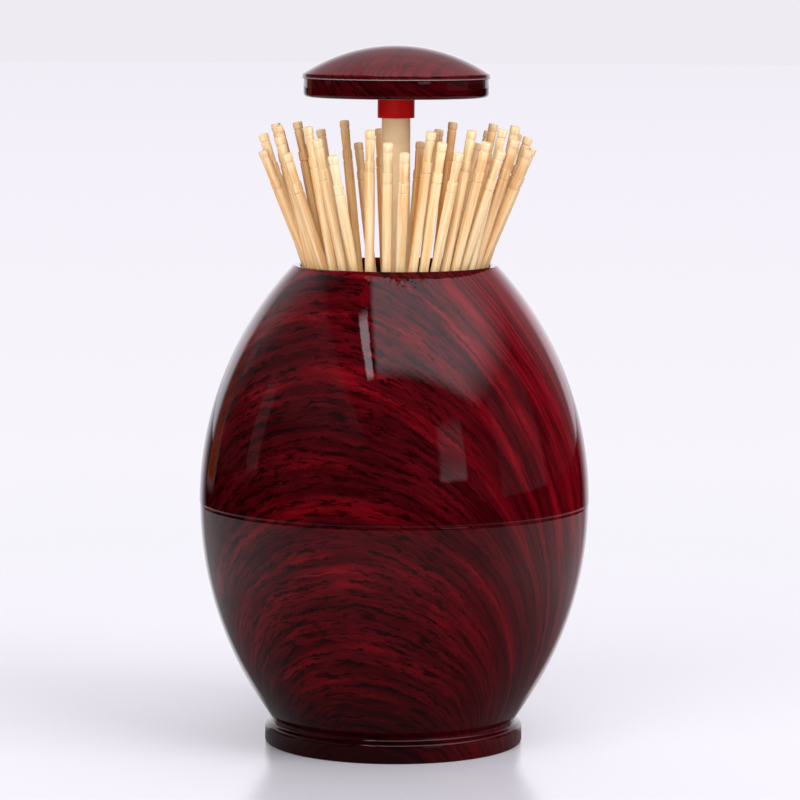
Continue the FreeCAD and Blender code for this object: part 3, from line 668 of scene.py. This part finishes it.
edge = np.sqrt(DOME_ARC ** 2 - (DOME_EDGE - LID_TOP + DOME_ARC) ** 2)
spread = np.linspace(0, 1, 48)
cap = np.stack([edge * 0.985 * spread[::-1], dome(edge * 0.985 * spread[::-1], DOME_ARC)], -1)
under = np.stack([LUG_INNER * spread, dome(LUG_INNER * spread, DOME_ARC - DOME_WALL)], -1)
outline = np.concatenate([
    curve((LID_RADIUS, DOME_EDGE - 0.35), (LID_RADIUS, DOME_EDGE + 0.05),
          (edge * 0.99, dome(edge * 0.99, DOME_ARC))),
    cap, under,
    [(LUG_INNER, LID_SEAM - LUG_DEPTH), (LUG_OUTER, LID_SEAM - LUG_DEPTH), (LUG_OUTER, LID_SEAM),
     (BEAD_FOOT, LID_SEAM)],
    curve((BEAD_FOOT, LID_SEAM), (BEAD_RADIUS, LID_SEAM), (BEAD_RADIUS, LID_SEAM + 0.16), 5),
    curve((BEAD_RADIUS, LID_SEAM + 0.18), (BEAD_RADIUS, LID_SEAM + 0.38),
          (LID_RADIUS, LID_SEAM + 0.44)),
])
piece(ringed(revolved("dome", outline), lid_rings), rosewood, "press", "lid_dome")

BAND_RADIUS, BAND_INNER, BAND_ROUND = 20.0, 18.45, 1.0
BAND_BOTTOM, BAND_FLOOR = 140.5, 142.0
COLLAR_HOLE, BOSS_RADIUS, BOSS_TOP = 3.95, 6.5, 144.0
outline = np.concatenate([
    [(COLLAR_HOLE, BAND_BOTTOM)],
    curve((BAND_RADIUS - BAND_ROUND, BAND_BOTTOM), (BAND_RADIUS, BAND_BOTTOM),
          (BAND_RADIUS, BAND_BOTTOM + BAND_ROUND), 8),
    curve((BAND_RADIUS, LID_SEAM - EDGE_ROUND), (BAND_RADIUS, LID_SEAM),
          (BAND_RADIUS - EDGE_ROUND, LID_SEAM), 4),
    [(BAND_INNER, LID_SEAM), (BAND_INNER, BAND_FLOOR), (BOSS_RADIUS, BAND_FLOOR),
     (BOSS_RADIUS, BOSS_TOP), (COLLAR_HOLE, BOSS_TOP)],
])
piece(ringed(revolved("band", outline), lid_rings), rosewood, "press", "lid_base")

red_plastic = plastic("red_plastic", display(206, 2, 3), display(184, 1, 2), 0.34,
                      Specular_IOR_Level=0.15)
COLLAR_RADIUS, COLLAR_LOW, COLLAR_TOP = 4.0, 136.0, 144.4
COLLAR_BORE, COLLAR_SPIGOT, COLLAR_ROUND = 3.12, 3.93, 0.15
outline = np.concatenate([
    [(COLLAR_BORE, COLLAR_LOW)],
    curve((COLLAR_RADIUS - COLLAR_ROUND, COLLAR_LOW), (COLLAR_RADIUS, COLLAR_LOW),
          (COLLAR_RADIUS, COLLAR_LOW + COLLAR_ROUND), 4),
    [(COLLAR_RADIUS, BAND_BOTTOM), (COLLAR_SPIGOT, BAND_BOTTOM), (COLLAR_SPIGOT, COLLAR_TOP),
     (0, COLLAR_TOP), (0, STEM_TOP + 0.02), (COLLAR_BORE, STEM_TOP + 0.02)],
])
piece(revolved("collar", outline, 72), red_plastic, "press", "lid_collar")

# ---------------------------------------------------------------- toothpicks
# Turned bamboo, 65 mm by 2 mm, standing on their points in the dish and leaning on the lip. The blunt
# end has a grip that tapers between two cut rings.
PICK_COUNT = 42
PICK_RINGS = (11.2, 8.0, 4.8)
FIRST_PICK = -16.5
PARTING, SECOND_GAP = 2.0, 4.0
CROWDING, CROWDED = 0.12, 55.0
SWEEP, LEFT_SWEEP, LEFT_TURN, SWEEP_SPAN = 14, 2, 21, 60
FOOT_LEVEL, DISH_SLOPE, DISH_FLAT = 69.1, 0.36, 4.7
PICK_WIDEST, MOUTH_SLACK = 1.07, 0.37
GRIP_RADIUS, GRIP_LOW, GRIP_HIGH = 1.08, 50, 64.5


def round_mouth(radius, azimuth):
    """Point at a distance from the axis, azimuth degrees round from the front towards +X."""
    return Vector((radius * sin(radians(azimuth)), -radius * cos(radians(azimuth)), 0))


def pick_place(index):
    """(foot point, lean) of one toothpick. The crown is parted left of the front: past the parting
    the feet are swept back towards it, so those sticks lean to +X. Small sine terms make the
    spacing, slack and height uneven."""
    step = (360 - PARTING - SECOND_GAP) / PICK_COUNT
    even = FIRST_PICK + index * step + SECOND_GAP * (1 - exp(-1.5 * index))
    azimuth = (even + 0.2 * (sin(0.9 * index) + 0.35 * sin(2.4 * index))
               - degrees(CROWDING) * (sin(radians(even - CROWDED)) - sin(radians(FIRST_PICK - CROWDED))))
    front = (azimuth + 180) % 360 - 180
    if front > FIRST_PICK - PARTING:
        sweep = SWEEP * exp(-(front / SWEEP_SPAN) ** 2)
    else:
        sweep = -LEFT_SWEEP * exp(-((front + LEFT_TURN) / SWEEP_SPAN) ** 2)
    foot_radius = PICK_RINGS[index % 3] + 0.1 * sin(1.7 * index)
    sweep *= (foot_radius - 2) / (max(PICK_RINGS) - 2)
    foot = round_mouth(foot_radius, azimuth - sweep)
    foot.z = FOOT_LEVEL + DISH_SLOPE * (foot_radius - DISH_FLAT) + 0.5 * sin(4.1 * index)
    slack = MOUTH_SLACK + 0.12 * sin(3.3 * index)
    touch = round_mouth(MOUTH_RADIUS - PICK_WIDEST - slack, azimuth)
    run = Vector((touch.x - foot.x, touch.y - foot.y, 0))
    lean = atan2(run.length, RIM_HEIGHT - foot.z)
    run.normalize()
    return foot, Matrix.Rotation(lean, 3, Vector((-run.y, run.x, 0)))


# Distance from the point and radius of the turned outline, and how unround a stick can be.
PICK_TURN = np.array([
    (0, 0), (0, 0.25), (2, 0.50), (4.5, 0.80), (7, 1.0), (20, 1.0), (40, 1.0), (48, 1.08),
    (55.95, 1.08), (56.1, 0.94), (56.28, 0.94), (56.45, 1.09), (57.4, 1.09), (58.35, 1.08), (58.5, 0.90),
    (58.75, 0.91), (61, 0.97), (63.0, 1.04), (63.2, 0.92), (63.4, 0.93), (63.55, 1.07), (64.3, 1.08),
    (64.88, 1.07), (64.98, 1.0), (65, 0.9), (65, 0)])
LOBES = 0.02
draws = np.random.default_rng(12)


def toothpick(index):
    """Stick whose radius at a distance along it is the turned outline's, times small two- and
    three-lobed errors round it; the rings are cut a little deeper or shallower on each stick."""
    along, radius = PICK_TURN.T
    depth, out, phase = 0.7 + 0.7 * draws.random(), LOBES * draws.random(2), 2 * pi * draws.random(3)
    radius = np.where((radius < GRIP_RADIUS) & (along > GRIP_LOW) & (along < GRIP_HIGH),
                      GRIP_RADIUS - depth * (GRIP_RADIUS - radius), radius)
    turn = np.linspace(0, 2 * pi, 20, endpoint=False)
    lobes = 1 - LOBES + out[0] * np.cos(2 * turn + phase[0]) + out[1] * np.cos(3 * turn + phase[1])
    girth = radius[:, None] * lobes
    local = np.stack([girth * np.cos(turn), girth * np.sin(turn),
                      np.broadcast_to(along[:, None], girth.shape)], -1)
    foot, lean = (np.array(value) for value in pick_place(index))
    mesh = gridded("pick_%02d" % (index + 1), local @ lean.T + foot, closed_rows=False, crease=38)
    grain = (places(mesh) - foot) @ lean
    grain[:, :2] += 7.0 * (index + 1)
    stored = mesh.attributes.new("grain", "FLOAT_VECTOR", "POINT")
    stored.data.foreach_set("vector", grain.astype(np.float32).ravel())
    # Each stick's tone is partly random and partly painted shade: sticks towards the back of the crown are
    # made deeper orange, standing in for the warm shade among the sticks.
    tone = mesh.attributes.new("tone", "FLOAT", "POINT")
    rear_shade = 0.5 - 0.5 * np.cos(np.arctan2(foot[0], -foot[1]))
    tone.data.foreach_set("value", np.full(len(mesh.vertices), 0.4 * draws.random() + 0.6 * rear_shade,
                                           np.float32))
    return mesh


bamboo, tree, shader = blank_material("bamboo", Roughness=0.55, Specular_IOR_Level=0.3,
                                      Subsurface_Weight=0.2, Subsurface_Radius=(1.0, 0.6, 0.3),
                                      Subsurface_Scale=0.001)
grain = node(tree, "Attribute", attribute_name="grain").outputs["Vector"]
tone = node(tree, "Attribute", attribute_name="tone").outputs["Fac"]
fibres = cloud(tree, arrow(tree, "MULTIPLY", grain, (4.5, 4.5, 0.10)), 1.0, 3.0, 0.6)
streaks = cloud(tree, arrow(tree, "MULTIPLY", grain, (1.3, 1.3, 0.03)), 1.0, 2.0)
height = node(tree, "SeparateXYZ", (0, grain)).outputs[2]
# A higher tone gives deeper, more orange colours; towards the back of the crown that is painted shade.
pale = tint(tree, tone, display(250, 232, 194), display(238, 198, 140))
deep = tint(tree, tone, display(240, 196, 130), display(206, 130, 56))
colour = tint(tree, ease(tree, figure(tree, "MULTIPLY_ADD", fibres, 0.5,
                                      figure(tree, "MULTIPLY", streaks, 0.5)), 0.38, 0.64), pale, deep)
tip = ease(tree, height, 60.0, 65.0, 0.0, 0.35)
colour = tint(tree, tip, colour, display(250, 230, 196))
tree.links.new(colour, shader.inputs["Base Color"])
bump = node(tree, "Bump", ("Height", fibres), ("Strength", 0.35), ("Distance", 0.0001))
tree.links.new(bump.outputs[0], shader.inputs["Normal"])

for index in range(PICK_COUNT):
    number = index + 1
    piece(toothpick(index), bamboo, "pick_%02d" % number, "toothpick_%02d" % number)
